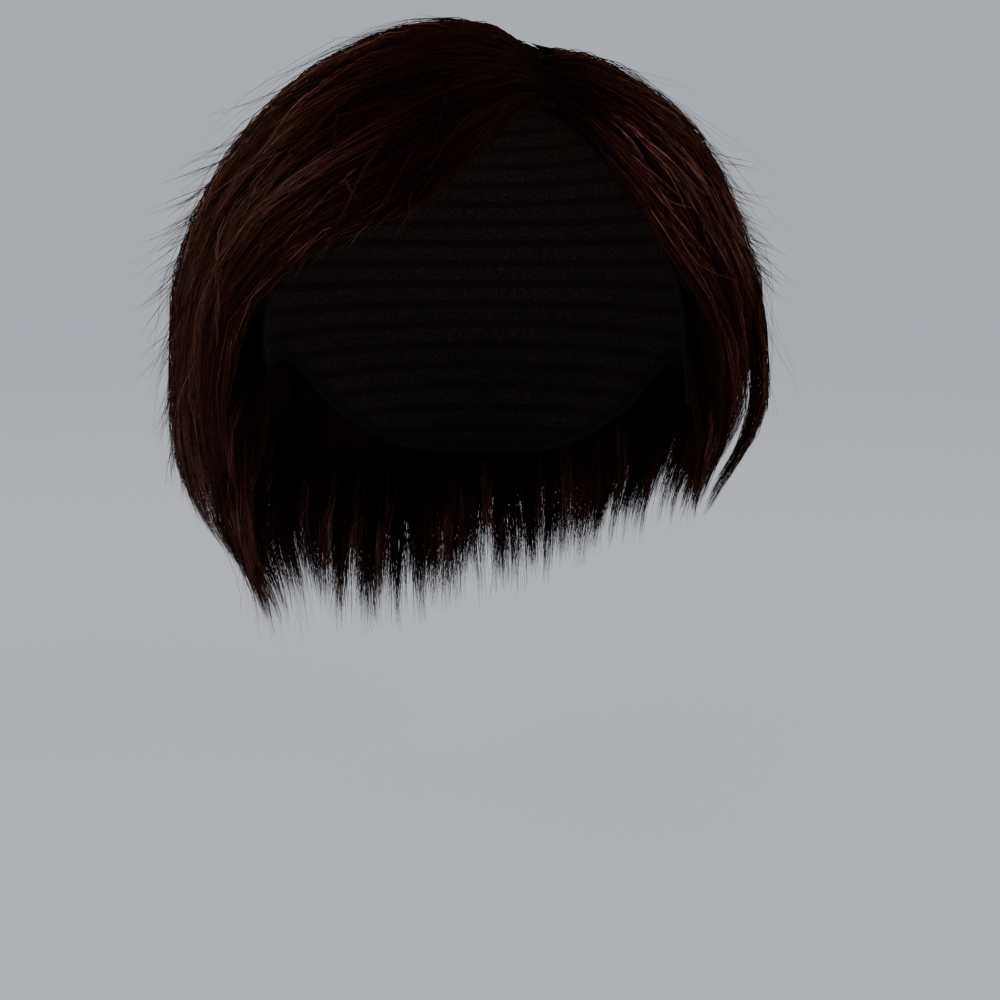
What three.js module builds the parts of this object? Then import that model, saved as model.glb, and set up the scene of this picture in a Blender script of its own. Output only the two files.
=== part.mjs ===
// Pixie cut wig: a hollow net cap with layered sections of hair fixed round it.
// Millimetres and degrees. The crown of the head sits at the origin, the face looks along -Y, +Z is up.
import * as THREE from 'three';

// Head that the cap fits
const HEAD_WIDTH = 148;
const HEAD_LENGTH = 188;
const CROWN_TO_WIDEST = 95;
const NAPE_INSET = 28;
const NAPE_INSET_DROP = 90;

// Net cap with a turned hem
const CAP_THICKNESS = 1.2;
const HEM_THICKNESS = 2;
const HEM_WIDTH_DEG = 5;
const CAP_COLUMNS = 44;
const CAP_ROWS = 10;

// Gaps between pieces
const LAYER_GAP = 1.2;
const SECTION_GAP_SHARE = 0.0012;
const SECTION_GAP_DEG = 0.25;

// Locks: how far they vary in width, fullness, length and in the depth of the valleys between them
const COLUMNS_PER_LOCK = 4;
const TOP_ROWS = 14;
const UNDER_ROWS = 8;
const LOCK_WIDTH_VARIES = 0.28;
const LOCK_FULLNESS_VARIES = 0.22;
const LOCK_LENGTH_VARIES = 0.06;
const VALLEY_VARIES = 0.7;
const VALLEY_DEPTH_ROOT = 0.4;
const VALLEY_DEPTH_TIP = 3.4;

// Tips: how much shorter the valleys end, and how a lock thins over its last part
const TIP_NOTCH_SHARE = 0.13;
const TIP_TAPER_SHARE = 0.2;
const TIP_THIN = 0.22;
const TIP_OUTWARD = 0.7;

// Roots on the cap and along the parting
const ROOT_THICKNESS = 2;
const CROWN_ROOT_THICKNESS = 6;
const CROWN_RISE_SHARE = 0.5;
const PARTING_FRONT = { bearing: 24.7, polar: 41.5 };
const PARTING_BACK = { bearing: 165, polar: 31 };
const PARTING_HALF_GAP_DEG = 0.9;
const PARTING_END_SHARE = 0.08;

// Under layer: how it starts at its weft, fills out and then hangs clear of the head
const WEFT_RISE_DEG = 15;
const WEFT_EDGE_THIN = 0.4;
const WEFT_EDGE_SHARE = 0.18;
const BODY_SHARE = 0.62;
const HANG_SHARE = 0.35;

const DEG = Math.PI / 180;
const HALF_WIDTH = HEAD_WIDTH / 2;
const HALF_LENGTH = HEAD_LENGTH / 2;
const MM_PER_DEG = CROWN_TO_WIDEST * DEG;
const CAP_OUTSIDE = CAP_THICKNESS + LAYER_GAP;

// Lower edge of the cap: its polar angle at bearings from the front, the same on both sides
const CAP_EDGE = [
  { bearing: 0, polar: 43 },
  { bearing: 25, polar: 41 },
  { bearing: 45, polar: 53 },
  { bearing: 60, polar: 75 },
  { bearing: 72, polar: 99 },
  { bearing: 90, polar: 93 },
  { bearing: 106, polar: 95 },
  { bearing: 126, polar: 108 },
  { bearing: 152, polar: 119 },
  { bearing: 180, polar: 121 },
];

// Top layer guides in order round the parting, from the fringe edge over the crown to the left temple.
// bend: bearing and polar angle at the top of the bend; out: bearing at the widest level;
// end: bearing and height of the tip; thick: thickness at the bend, the widest level and the tip.
const TOP_GUIDES = [
  { bend: [-14, 64], out: -58, end: [-64, -126], thick: [3, 9, 6] },
  { bend: [-37, 52], out: -75, end: [-79, -143], thick: [17.5, 19.5, 6] },
  { bend: [-62, 44], out: -92, end: [-95, -158], thick: [17, 25.5, 7.5] },
  { bend: [-93, 40], out: -109, end: [-111, -158], thick: [15, 22.5, 13] },
  { bend: [-126, 43], out: -128, end: [-130, -144], thick: [17, 18, 7] },
  { bend: [-158, 50], out: -153, end: [-155, -141], thick: [17, 15, 5] },
  { bend: [175, 60], out: 180, end: [180, -139], thick: [17, 14, 4] },
  { bend: [152, 54], out: 154, end: [156, -138], thick: [17, 14, 4] },
  { bend: [126, 51], out: 130, end: [132, -136], thick: [17, 16, 5] },
  { bend: [102, 50], out: 112, end: [114, -136], thick: [14.5, 18, 8] },
  { bend: [81, 54], out: 96, end: [99, -142], thick: [18.5, 19.5, 8.5] },
  { bend: [63, 59], out: 80, end: [84, -140], thick: [14, 16.5, 5.5] },
  { bend: [46, 66], out: 63, end: [70, -114], thick: [3, 8.5, 5.5] },
];

// Shares of a top lock's length at which its root, bend, widest level and tip lie
const GUIDE_STOPS = [0, 0.36, 0.77, 1];

// Under layer guides at bearings round the head, from the right temple round the back to the left.
// root: polar angle of the weft; body and tip: reach of the outside from the head form.
const UNDER_GUIDES = [
  { bearing: -64, root: 84, tipHeight: -146, body: 8, tip: 10, tipThickness: 4 },
  { bearing: -90, root: 80, tipHeight: -196, body: 24, tip: 9.5, tipThickness: 8 },
  { bearing: -115, root: 80, tipHeight: -207, body: 22, tip: 13.5, tipThickness: 9 },
  { bearing: -146, root: 82, tipHeight: -214, body: 16, tip: 18, tipThickness: 10 },
  { bearing: -180, root: 84, tipHeight: -207, body: 15, tip: 12, tipThickness: 10 },
  { bearing: -214, root: 82, tipHeight: -190, body: 14, tip: 7, tipThickness: 9 },
  { bearing: -245, root: 80, tipHeight: -160, body: 14, tip: 4, tipThickness: 7 },
  { bearing: -270, root: 80, tipHeight: -150, body: 14, tip: 6, tipThickness: 7 },
  { bearing: -296, root: 84, tipHeight: -132, body: 8, tip: 6, tipThickness: 4 },
];

// Sections of the top layer, by share of the way round the parting
const TOP_SECTIONS = [
  { name: 'fringe_hair', from: 0, to: 0.27, locks: 8, seed: 11, color: 0x2a130c },
  { name: 'back_hair', from: 0.27, to: 0.74, locks: 13, seed: 12, color: 0x22100b },
  { name: 'left_front_hair', from: 0.74, to: 1, locks: 8, seed: 13, color: 0x28120b },
];

// Sections of the under layer, by bearing
const UNDER_SECTIONS = [
  { name: 'right_side_hair', from: -64, to: -126, locks: 7, seed: 21, color: 0x24110b },
  { name: 'nape_hair', from: -126, to: -234, locks: 10, seed: 22, color: 0x1c0d09 },
  { name: 'left_side_hair', from: -234, to: -296, locks: 7, seed: 23, color: 0x24110b },
];

const smooth = (x) => THREE.MathUtils.smoothstep(x, 0, 1);

// Repeatable scatter between -1 and 1 for one trait of one lock of a section
const TRAITS = ['width', 'fullness', 'length', 'valley'];
function scatter(seed, lock, trait) {
  const place = (seed * 100 + lock) * TRAITS.length + TRAITS.indexOf(trait);
  return 2 * THREE.MathUtils.seededRandom(place) - 1;
}

// Smooth curve through four values, at u between the second and the third
function curveThrough(a, b, c, d, u) {
  const u2 = u * u;
  const u3 = u2 * u;
  const slopes = ((c - a) * (u3 - 2 * u2 + u) + (d - b) * (u3 - u2)) / 2;
  return b * (2 * u3 - 3 * u2 + 1) + c * (3 * u2 - 2 * u3) + slopes;
}

// Value of one column of a table at a place counted in rows
function between(rows, place, read) {
  const last = rows.length - 1;
  const i = THREE.MathUtils.clamp(Math.floor(place), 0, last - 1);
  const at = (k) => read(rows[THREE.MathUtils.clamp(k, 0, last)]);
  return curveThrough(at(i - 1), at(i), at(i + 1), at(i + 2), place - i);
}

// Place in a table, counted in rows, of a given bearing
function rowOfBearing(rows, bearing) {
  const way = Math.sign(rows[1].bearing - rows[0].bearing);
  let i = 0;
  while (i < rows.length - 2 && (bearing - rows[i + 1].bearing) * way > 0) i += 1;
  return i + (bearing - rows[i].bearing) / (rows[i + 1].bearing - rows[i].bearing);
}

// Head form: a dome down to the widest level, then straight walls that draw in at the nape.
// bearing turns from the front to the wearer's left, polar runs down from the crown.
function headPoint(bearing, polar, reach) {
  const across = Math.sin(bearing * DEG);
  const along = -Math.cos(bearing * DEG);
  const tilt = Math.min(polar, 90) * DEG;
  const drop = Math.max(polar - 90, 0) * MM_PER_DEG;
  const rear = Math.max(along, 0);
  const inset = NAPE_INSET * smooth(drop / NAPE_INSET_DROP) * rear * rear;
  const outward = new THREE.Vector3(
    (Math.sin(tilt) * across) / HALF_WIDTH,
    (Math.sin(tilt) * along) / HALF_LENGTH,
    Math.cos(tilt) / CROWN_TO_WIDEST,
  ).normalize();
  const surface = new THREE.Vector3(
    HALF_WIDTH * Math.sin(tilt) * across,
    HALF_LENGTH * Math.sin(tilt) * along - inset,
    -CROWN_TO_WIDEST * (1 - Math.cos(tilt)) - drop,
  );
  return surface.addScaledVector(outward, reach);
}

const polarOfHeight = (height) => 90 + (-CROWN_TO_WIDEST - height) / MM_PER_DEG;

// Flat map of the head: distance from the middle is the polar angle
const mapPoint = (bearing, polar) =>
  new THREE.Vector2(polar * Math.sin(bearing * DEG), polar * Math.cos(bearing * DEG));

// Closed body from a grid of outside points and a matching grid of inside points.
// A dome joins its last column to its first, and its first row is one point at the crown.
function shellBetween(outside, inside, dome = false) {
  const columns = outside.length;
  const rows = outside[0].length;
  const positions = [];
  const faces = [];
  for (const grid of [outside, inside]) {
    for (const column of grid) {
      for (const point of column) positions.push(point.x, point.y, point.z);
    }
  }
  const outer = (i, j) => (dome && j === 0 ? 0 : (i % columns) * rows + j);
  const inner = (i, j) => columns * rows + outer(i, j);
  const triangle = (a, b, c) => {
    if (a !== b && b !== c && c !== a) faces.push(a, b, c);
  };
  const quad = (a, b, c, d) => {
    triangle(a, b, c);
    triangle(a, c, d);
  };
  const last = dome ? columns : columns - 1;
  for (let i = 0; i < last; i += 1) {
    for (let j = 0; j < rows - 1; j += 1) {
      quad(outer(i, j), outer(i + 1, j), outer(i + 1, j + 1), outer(i, j + 1));
      quad(inner(i, j), inner(i, j + 1), inner(i + 1, j + 1), inner(i + 1, j));
    }
    quad(outer(i, rows - 1), outer(i + 1, rows - 1), inner(i + 1, rows - 1), inner(i, rows - 1));
    if (!dome) quad(outer(i, 0), inner(i, 0), inner(i + 1, 0), outer(i + 1, 0));
  }
  for (let j = 0; j < rows - 1 && !dome; j += 1) {
    quad(outer(0, j), outer(0, j + 1), inner(0, j + 1), inner(0, j));
    quad(outer(last, j), inner(last, j), inner(last, j + 1), outer(last, j + 1));
  }
  const geometry = new THREE.BufferGeometry();
  geometry.setAttribute('position', new THREE.Float32BufferAttribute(positions, 3));
  geometry.setIndex(faces);
  geometry.computeVertexNormals();
  return geometry;
}

// Net cap: the dome from the crown to its shaped edge, thicker along the hem
function capGeometry() {
  const outside = [];
  const inside = [];
  for (let i = 0; i < CAP_COLUMNS; i += 1) {
    const bearing = 180 - (360 * i) / CAP_COLUMNS;
    const edge = between(CAP_EDGE, rowOfBearing(CAP_EDGE, Math.abs(bearing)), (g) => g.polar);
    const outer = [];
    const inner = [];
    for (let j = 0; j <= CAP_ROWS; j += 1) {
      const polar = (edge * j) / CAP_ROWS;
      const hem = (HEM_THICKNESS - CAP_THICKNESS) * smooth(1 - (edge - polar) / HEM_WIDTH_DEG);
      outer.push(headPoint(bearing, polar, CAP_THICKNESS));
      inner.push(headPoint(bearing, polar, -hem));
    }
    outside.push(outer);
    inside.push(inner);
  }
  return shellBetween(outside, inside, true);
}

// Columns across a section: each lock swells in its middle, ends in a point and has its own length
function lockColumns({ locks, seed }) {
  const inner = (n) => n > 0 && n < locks;
  const edge = (n) => (n + (inner(n) ? LOCK_WIDTH_VARIES * scatter(seed, n, 'width') : 0)) / locks;
  const depth = (n) => 1 + (inner(n) ? VALLEY_VARIES * scatter(seed, n, 'valley') : 0);
  const columns = [];
  for (let n = 0; n < locks; n += 1) {
    for (let k = 0; k < COLUMNS_PER_LOCK; k += 1) {
      const u = k / COLUMNS_PER_LOCK;
      const swell = Math.sin(Math.PI * u);
      const fullness = swell * (1 + LOCK_FULLNESS_VARIES * scatter(seed, n, 'fullness'));
      const extra = swell * LOCK_LENGTH_VARIES * scatter(seed, n, 'length');
      columns.push({
        place: edge(n) + (edge(n + 1) - edge(n)) * u,
        valley: Math.max(1 - fullness, 0) * depth(u < 0.5 ? n : n + 1),
        length: 1 - TIP_NOTCH_SHARE * (1 - swell) + extra,
      });
    }
  }
  columns.push({ place: 1, valley: 1, length: 1 - TIP_NOTCH_SHARE });
  return columns;
}

// Inside and outside of a lock at t of its length, above the floor it lies on.
// It is cut by the valleys at its sides and thins to a tip near its outside.
function lockWall(column, t, floor, full) {
  const valley = VALLEY_DEPTH_ROOT + (VALLEY_DEPTH_TIP - VALLEY_DEPTH_ROOT) * t * t;
  const thickness = Math.max(full - column.valley * valley, ROOT_THICKNESS / 2);
  const kept = TIP_THIN + (1 - TIP_THIN) * smooth((column.length - t) / TIP_TAPER_SHARE);
  const lost = thickness * (1 - kept);
  return { inside: floor + lost * TIP_OUTWARD, outside: floor + thickness - lost * (1 - TIP_OUTWARD) };
}

// Under layer guide at any bearing, held at the first and last rows past the ends of the table
function underGuide(bearing) {
  const first = UNDER_GUIDES[0].bearing;
  const last = UNDER_GUIDES[UNDER_GUIDES.length - 1].bearing;
  const wrapped = bearing > 0 ? bearing - 360 : bearing;
  const row = rowOfBearing(UNDER_GUIDES, THREE.MathUtils.clamp(wrapped, last, first));
  return {
    root: between(UNDER_GUIDES, row, (g) => g.root),
    tipPolar: polarOfHeight(between(UNDER_GUIDES, row, (g) => g.tipHeight)),
    body: between(UNDER_GUIDES, row, (g) => g.body),
    tip: between(UNDER_GUIDES, row, (g) => g.tip),
    tipThickness: between(UNDER_GUIDES, row, (g) => g.tipThickness),
  };
}

// Reach of the outside of the under layer from the head form; above its weft it is the cap alone
function underReach(guide, polar) {
  const t = (polar - guide.root) / (guide.tipPolar - guide.root);
  const weft = LAYER_GAP + ROOT_THICKNESS;
  const rooted = CAP_THICKNESS + weft * smooth(1 + (polar - guide.root) / WEFT_RISE_DEG);
  const filled = (guide.body - CAP_THICKNESS - weft) * smooth(t / BODY_SHARE);
  const flared = (guide.tip - guide.body) * smooth((t - BODY_SHARE) / (1 - BODY_SHARE));
  return rooted + filled + flared;
}

// Under layer section: hair that hangs straight down from a weft on the cap
function underSection(section) {
  const way = Math.sign(section.to - section.from);
  const start = section.from + way * SECTION_GAP_DEG;
  const stop = section.to - way * SECTION_GAP_DEG;
  const outside = [];
  const inside = [];
  for (const column of lockColumns(section)) {
    const bearing = start + (stop - start) * column.place;
    const guide = underGuide(bearing);
    const outer = [];
    const inner = [];
    for (let j = 0; j < UNDER_ROWS; j += 1) {
      const t = (j / (UNDER_ROWS - 1)) * column.length;
      const polar = guide.root + (guide.tipPolar - guide.root) * t;
      const reach = underReach(guide, polar);
      const hang = smooth((t - HANG_SHARE) / (1 - HANG_SHARE));
      const floor = CAP_OUTSIDE + (reach - guide.tipThickness - CAP_OUTSIDE) * hang;
      const edge = WEFT_EDGE_THIN + (1 - WEFT_EDGE_THIN) * smooth(t / WEFT_EDGE_SHARE);
      const wall = lockWall(column, t, floor, (reach - floor) * edge);
      outer.push(headPoint(bearing, polar, wall.outside));
      inner.push(headPoint(bearing, polar, wall.inside));
    }
    outside.push(outer);
    inside.push(inner);
  }
  return shellBetween(outside, inside);
}

// How far back along the parting a share of the way round it lies, 0 at the hairline and 1 on the crown
const backness = (share) => 1 - Math.abs(2 * share - 1);

// Where the hair at a share of the way round the parting leaves the scalp, on the flat map
function rootPoint(share) {
  const front = mapPoint(PARTING_FRONT.bearing, PARTING_FRONT.polar);
  const back = mapPoint(PARTING_BACK.bearing, PARTING_BACK.polar);
  const spot = front.lerp(back, backness(share));
  const turn = Math.PI * smooth(0.5 + (share - 0.5) / PARTING_END_SHARE);
  spot.x -= PARTING_HALF_GAP_DEG * Math.cos(turn);
  spot.y -= PARTING_HALF_GAP_DEG * Math.sin(turn);
  return spot;
}

// Place between root, bend, widest level and tip, counted from 0 to 3, at t of a lock's length
function guidePlace(t) {
  const i = GUIDE_STOPS.findIndex((stop, n) => t < stop || n === GUIDE_STOPS.length - 1) - 1;
  return i + (t - GUIDE_STOPS[i]) / (GUIDE_STOPS[i + 1] - GUIDE_STOPS[i]);
}

// Path of a top lock on the flat map, from its root at t = 0 to its tip at t = 1
function topPath(share, t) {
  const row = share * (TOP_GUIDES.length - 1);
  const via = (spot) =>
    new THREE.Vector2(between(TOP_GUIDES, row, (g) => spot(g).x), between(TOP_GUIDES, row, (g) => spot(g).y));
  const stops = [
    rootPoint(share),
    via((g) => mapPoint(g.bend[0], g.bend[1])),
    via((g) => mapPoint(g.out, 90)),
    via((g) => mapPoint(g.end[0], polarOfHeight(g.end[1]))),
  ];
  const place = guidePlace(t);
  return new THREE.Vector2(between(stops, place, (p) => p.x), between(stops, place, (p) => p.y));
}

function topThickness(share, t) {
  const row = share * (TOP_GUIDES.length - 1);
  const rise = smooth(backness(share) / CROWN_RISE_SHARE);
  const stops = [
    ROOT_THICKNESS + (CROWN_ROOT_THICKNESS - ROOT_THICKNESS) * rise,
    between(TOP_GUIDES, row, (g) => g.thick[0]),
    between(TOP_GUIDES, row, (g) => g.thick[1]),
    between(TOP_GUIDES, row, (g) => g.thick[2]),
  ];
  return between(stops, guidePlace(t), (value) => value);
}

// Top layer section: hair that falls from the parting over the cap and the under layer
function topSection(section) {
  const start = section.from + SECTION_GAP_SHARE;
  const stop = section.to - SECTION_GAP_SHARE;
  const outside = [];
  const inside = [];
  for (const column of lockColumns(section)) {
    const share = start + (stop - start) * column.place;
    const outer = [];
    const inner = [];
    for (let j = 0; j < TOP_ROWS; j += 1) {
      const t = (j / (TOP_ROWS - 1)) * column.length;
      const spot = topPath(share, t);
      const polar = spot.length();
      const bearing = Math.atan2(spot.x, spot.y) / DEG;
      const floor = underReach(underGuide(bearing), polar) + LAYER_GAP;
      const wall = lockWall(column, t, floor, topThickness(share, t));
      outer.push(headPoint(bearing, polar, wall.outside));
      inner.push(headPoint(bearing, polar, wall.inside));
    }
    outside.push(outer);
    inside.push(inner);
  }
  return shellBetween(outside, inside);
}

function namedMesh(name, geometry, color, roughness) {
  const material = new THREE.MeshStandardMaterial({ color, roughness, metalness: 0 });
  const mesh = new THREE.Mesh(geometry, material);
  mesh.name = name;
  return mesh;
}

const CAP_COLOR = 0x17100d;
const CAP_ROUGHNESS = 0.9;
const HAIR_ROUGHNESS = 0.45;

const wig = new THREE.Group();
wig.name = 'pixie_cut_wig';
wig.add(namedMesh('cap', capGeometry(), CAP_COLOR, CAP_ROUGHNESS));
for (const section of TOP_SECTIONS) {
  wig.add(namedMesh(section.name, topSection(section), section.color, HAIR_ROUGHNESS));
}
for (const section of UNDER_SECTIONS) {
  wig.add(namedMesh(section.name, underSection(section), section.color, HAIR_ROUGHNESS));
}

export default wig;
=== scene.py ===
import math

import bmesh
import bpy
import numpy as np
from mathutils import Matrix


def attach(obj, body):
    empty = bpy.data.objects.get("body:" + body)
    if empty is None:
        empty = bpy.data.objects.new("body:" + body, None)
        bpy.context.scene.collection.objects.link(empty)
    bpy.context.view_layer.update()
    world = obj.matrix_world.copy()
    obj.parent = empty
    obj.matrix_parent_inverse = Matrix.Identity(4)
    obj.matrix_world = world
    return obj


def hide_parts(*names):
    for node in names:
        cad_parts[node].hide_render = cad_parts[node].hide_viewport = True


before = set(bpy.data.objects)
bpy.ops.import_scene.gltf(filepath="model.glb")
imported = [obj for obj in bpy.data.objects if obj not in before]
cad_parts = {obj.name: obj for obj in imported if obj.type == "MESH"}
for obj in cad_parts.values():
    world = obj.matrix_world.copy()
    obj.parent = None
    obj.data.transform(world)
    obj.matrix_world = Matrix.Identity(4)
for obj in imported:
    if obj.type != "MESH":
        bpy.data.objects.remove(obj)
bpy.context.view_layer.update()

# Net cap
# A dome of stretch net that carries all the hair. Rows of machine weft are sewn round it, which show inside
# as low ridges between bands of open net. Its lower edge is turned up and sewn into a hem.
MM = 0.001
FORM_HALF_WIDTH, FORM_HALF_LENGTH, CROWN_TO_WIDEST = 74.0, 94.0, 95.0
NAPE_INSET, NAPE_INSET_DROP = 28.0, 90.0
MM_PER_DEGREE = math.radians(CROWN_TO_WIDEST)
CAP_THICKNESS, HEM_THICKNESS, HEM_WIDTH_DEGREES = 1.2, 2.0, 5.0
WEFT_PITCH, WEFT_SHARE, WEFT_HEIGHT = 9.0, 0.36, 0.4
CAP_COLUMNS, CAP_ROWS = 96, 60
NET_DARK, NET_CORD, WEFT_BROWN = (0.014, 0.0105, 0.009), (0.046, 0.035, 0.030), (0.030, 0.019, 0.015)
NET_CELLS_PER_METRE, FIBRES_PER_METRE, NET_RELIEF = 900.0, 900.0, 0.0002
CORD_INSIDE, CORD_OUTSIDE = 0.06, 0.2
NET_ROUGHNESS, NET_ROUGHNESS_VARIES = 0.62, 0.3
# bearing from the front, and the polar angle of the cap's edge there, alike on both sides
CAP_EDGE = np.array([
    (0, 43), (25, 41), (45, 53), (60, 75), (72, 99),
    (90, 93), (106, 95), (126, 108), (152, 119), (180, 121),
], float)


def smooth(x):
    x = np.clip(x, 0, 1)
    return x * x * (3 - 2 * x)


def through(stops, place):
    """A smooth curve through stops, read at places counted in stops. It runs straight past its ends."""
    stops, place = np.asarray(stops, float), np.asarray(place, float)
    last = len(stops) - 1
    kept = np.clip(place, 0, last)
    i = np.clip(np.floor(kept).astype(int), 0, last - 1)
    u = kept - i

    def stop(step):
        rows = np.clip(i + step, 0, last)
        return stops[rows] if stops.ndim == 1 else np.take_along_axis(stops, rows[None], 0)[0]

    a, b, c, d = (stop(step) for step in (-1, 0, 1, 2))
    slopes = ((c - a) * (u**3 - 2 * u**2 + u) + (d - b) * (u**3 - u**2)) / 2
    past = (place - kept) * np.where(place < 0, stops[1] - stops[0], stops[-1] - stops[-2]) / 2
    return b * (2 * u**3 - 3 * u**2 + 1) + c * (3 * u**2 - 2 * u**3) + slopes + past


def form_point(bearing, polar, reach):
    """A point in millimetres at some reach off the cap's form: a dome, then walls drawn in at the nape."""
    turn, tilt = np.radians(bearing), np.radians(np.minimum(polar, 90))
    across, along = np.sin(turn), -np.cos(turn)
    drop = np.maximum(polar - 90, 0) * MM_PER_DEGREE
    inset = NAPE_INSET * smooth(drop / NAPE_INSET_DROP) * np.maximum(along, 0) ** 2
    outward = np.stack([
        np.sin(tilt) * across / FORM_HALF_WIDTH,
        np.sin(tilt) * along / FORM_HALF_LENGTH,
        np.cos(tilt) / CROWN_TO_WIDEST,
    ], -1)
    outward /= np.linalg.norm(outward, axis=-1, keepdims=True)
    surface = np.stack([
        FORM_HALF_WIDTH * np.sin(tilt) * across,
        FORM_HALF_LENGTH * np.sin(tilt) * along - inset,
        -CROWN_TO_WIDEST * (1 - np.cos(tilt)) - drop,
    ], -1)
    return surface + outward * np.asarray(reach)[..., None]


def shell(name, outside, inside, flow, wraps=False):
    """A closed wall between two matching grids of points, with a UV map that follows the grid."""
    columns, rows = outside.shape[:2]
    outer = np.arange(columns * rows).reshape(columns, rows)
    if wraps:
        outer = np.vstack([outer, outer[:1]])
    inner = outer + columns * rows

    def strip(a, b):
        return np.stack([a[:-1], a[1:], b[1:], b[:-1]], -1)

    faces = [strip(outer[:, j], outer[:, j + 1]) for j in range(rows - 1)]
    faces += [strip(inner[:, j + 1], inner[:, j]) for j in range(rows - 1)]
    faces.append(strip(outer[:, -1], inner[:, -1]))
    if not wraps:
        faces += [strip(inner[:, 0], outer[:, 0]), strip(outer[0], inner[0]), strip(inner[-1], outer[-1])]
    points = np.concatenate([outside.reshape(-1, 3), inside.reshape(-1, 3)]) * MM
    mesh = bpy.data.meshes.new(name)
    mesh.from_pydata(points.tolist(), [], np.concatenate(faces).tolist())
    spots = np.concatenate([flow.reshape(-1, 2)] * 2)
    corner = np.empty(len(mesh.loops), np.int32)
    mesh.loops.foreach_get("vertex_index", corner)
    mesh.uv_layers.new(name="flow").data.foreach_set("uv", spots[corner].astype(np.float32).ravel())
    work = bmesh.new()
    work.from_mesh(mesh)
    bmesh.ops.remove_doubles(work, verts=work.verts, dist=1e-6)
    bmesh.ops.recalc_face_normals(work, faces=work.faces)
    work.to_mesh(mesh)
    work.free()
    mesh.shade_smooth()
    piece = bpy.data.objects.new(name, mesh)
    bpy.context.scene.collection.objects.link(piece)
    return piece


def add(tree, kind, inputs=(), **settings):
    """A new node with its settings, and with its inputs wired or filled in. Returns its outputs."""
    made = tree.nodes.new(kind)
    for key, value in settings.items():
        setattr(made, key, value)
    for key, value in dict(inputs).items():
        if isinstance(value, bpy.types.NodeSocket):
            tree.links.new(value, made.inputs[key])
        else:
            made.inputs[key].default_value = value
    return made.outputs


def calc(tree, operation, a, b=0.0):
    return add(tree, "ShaderNodeMath", {0: a, 1: b}, operation=operation)[0]


def blend_colours(tree, share, first, second):
    """Mixes two colours, each a socket or three numbers."""
    ends = [c if isinstance(c, bpy.types.NodeSocket) else (*c, 1) for c in (first, second)]
    return add(tree, "ShaderNodeMix", {0: share, 6: ends[0], 7: ends[1]}, data_type="RGBA")[2]


def new_material(name, **constants):
    """A material with a bare shader. Returns it, its tree and the shader's inputs."""
    material = bpy.data.materials.new(name)
    material.use_nodes = True
    shader = material.node_tree.nodes["Principled BSDF"].inputs
    for key, value in constants.items():
        shader[key.replace("_", " ")].default_value = value
    return material, material.node_tree, shader


net, tree, shader = new_material("cap_net", Specular_IOR_Level=0.02)
place = add(tree, "ShaderNodeTexCoord")["Object"]
cell_edge = add(
    tree, "ShaderNodeTexVoronoi", {"Vector": place, "Scale": NET_CELLS_PER_METRE},
    feature="DISTANCE_TO_EDGE",
)["Distance"]
cord = add(tree, "ShaderNodeMapRange", {0: cell_edge, 1: CORD_INSIDE, 2: CORD_OUTSIDE, 3: 1.0, 4: 0.0})[0]
sewing = add(tree, "ShaderNodeSeparateXYZ", {0: add(tree, "ShaderNodeUVMap", uv_map="flow")[0]})
weft = calc(tree, "LESS_THAN", calc(tree, "FRACT", sewing["Y"]), WEFT_SHARE)
fibre = add(tree, "ShaderNodeTexNoise", {"Vector": place, "Scale": FIBRES_PER_METRE, "Detail": 4.0})["Fac"]
open_net = blend_colours(tree, cord, NET_DARK, NET_CORD)
sewn = blend_colours(tree, fibre, NET_DARK, WEFT_BROWN)
in_rows = blend_colours(tree, weft, open_net, sewn)
tree.links.new(blend_colours(tree, sewing["X"], in_rows, NET_DARK), shader["Base Color"])
uneven = {0: fibre, 1: NET_ROUGHNESS_VARIES, 2: NET_ROUGHNESS}
tree.links.new(add(tree, "ShaderNodeMath", uneven, operation="MULTIPLY_ADD")[0], shader["Roughness"])
relief = calc(tree, "ADD", cord, calc(tree, "MULTIPLY", fibre, weft))
tree.links.new(add(tree, "ShaderNodeBump", {"Height": relief, "Distance": NET_RELIEF})[0], shader["Normal"])

bearing = 180 - 360 * np.arange(CAP_COLUMNS)[:, None] / CAP_COLUMNS
edge = through(CAP_EDGE[:, 1], np.interp(np.abs(bearing), CAP_EDGE[:, 0], np.arange(len(CAP_EDGE))))
polar = edge * np.linspace(0, 1, CAP_ROWS)[None]
hem = smooth(1 - (edge - polar) / HEM_WIDTH_DEGREES)
weft_row = polar * MM_PER_DEGREE / WEFT_PITCH
ridge = WEFT_HEIGHT * np.maximum(np.sin(np.pi * np.clip(weft_row % 1 / WEFT_SHARE, 0, 1)), 0) * (1 - hem)
bearing = bearing + 0 * polar
cap = shell(
    "cap_net",
    form_point(bearing, polar, CAP_THICKNESS + 0 * polar),
    form_point(bearing, polar, -(HEM_THICKNESS - CAP_THICKNESS) * hem - ridge),
    np.stack([hem, weft_row], -1),
    wraps=True,
)
cap.data.materials.append(net)
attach(cap, "root")
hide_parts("cap")

# Nape hair
# The lowest hair at the back, machine weft sewn to the cap in rows. It hangs down past the cap's edge
# in layered locks, and the ends of its strands are razored thin.
LAYER_GAP, ROOT_THICKNESS = 1.2, 2.0
WEFT_RISE_DEGREES, WEFT_EDGE_THIN, WEFT_EDGE_SHARE = 15.0, 0.4, 0.18
BODY_SHARE, HANG_SHARE = 0.62, 0.35
CAP_OUTSIDE = CAP_THICKNESS + LAYER_GAP
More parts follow.
